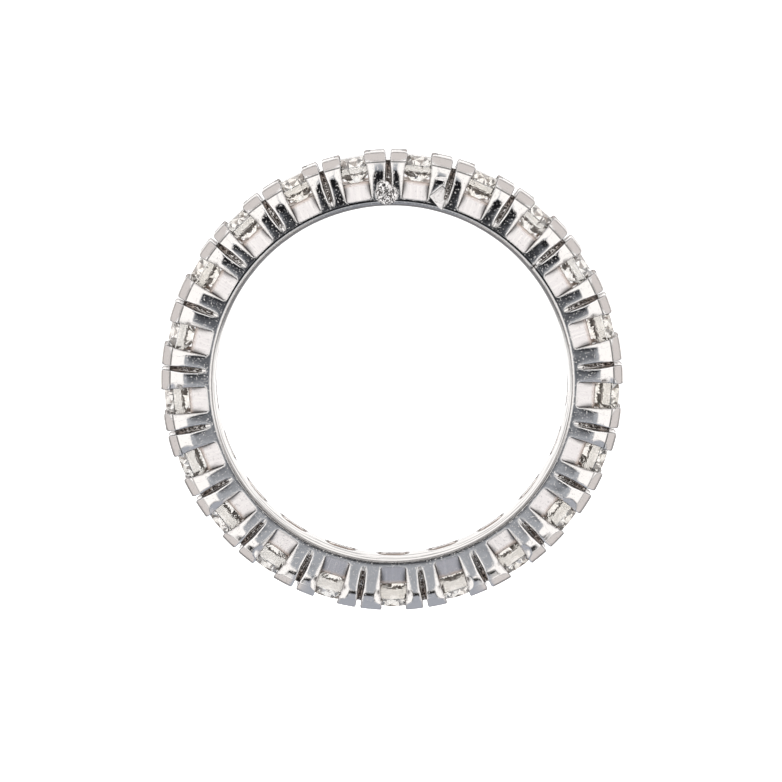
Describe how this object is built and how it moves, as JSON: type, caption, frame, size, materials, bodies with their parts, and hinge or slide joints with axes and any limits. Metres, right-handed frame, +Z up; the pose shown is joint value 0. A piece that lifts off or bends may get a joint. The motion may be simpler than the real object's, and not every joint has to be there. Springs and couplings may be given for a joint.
{
  "type": "diamond wedding band",
  "caption": "Full eternity ring: a polished white metal band with round brilliant stones held by claws all the way round.",
  "frame": {"origin": "centre of the ring on the surface it lies on", "axes": "+Z up along the finger's axis, +Y to the top of the ring where the repair marks are, +X to its right seen from above"},
  "size_m": [0.0224, 0.0224, 0.003],
  "materials": {
    "white_gold": "polished",
    "diamond": "faceted and polished"
  },
  "bodies": {
    "root": {"band": "white_gold", "stone_01": "diamond", "stone_02": "diamond", "stone_03": "diamond", "stone_04": "diamond", "stone_05": "diamond", "stone_06": "diamond", "stone_07": "diamond", "stone_08": "diamond", "stone_09": "diamond", "stone_10": "diamond", "stone_11": "diamond", "stone_12": "diamond", "stone_13": "diamond", "stone_14": "diamond", "stone_15": "diamond", "stone_16": "diamond", "stone_17": "diamond", "stone_18": "diamond", "stone_19": "diamond", "stone_20": "diamond", "stone_21": "diamond"}
  },
  "joints": []
}
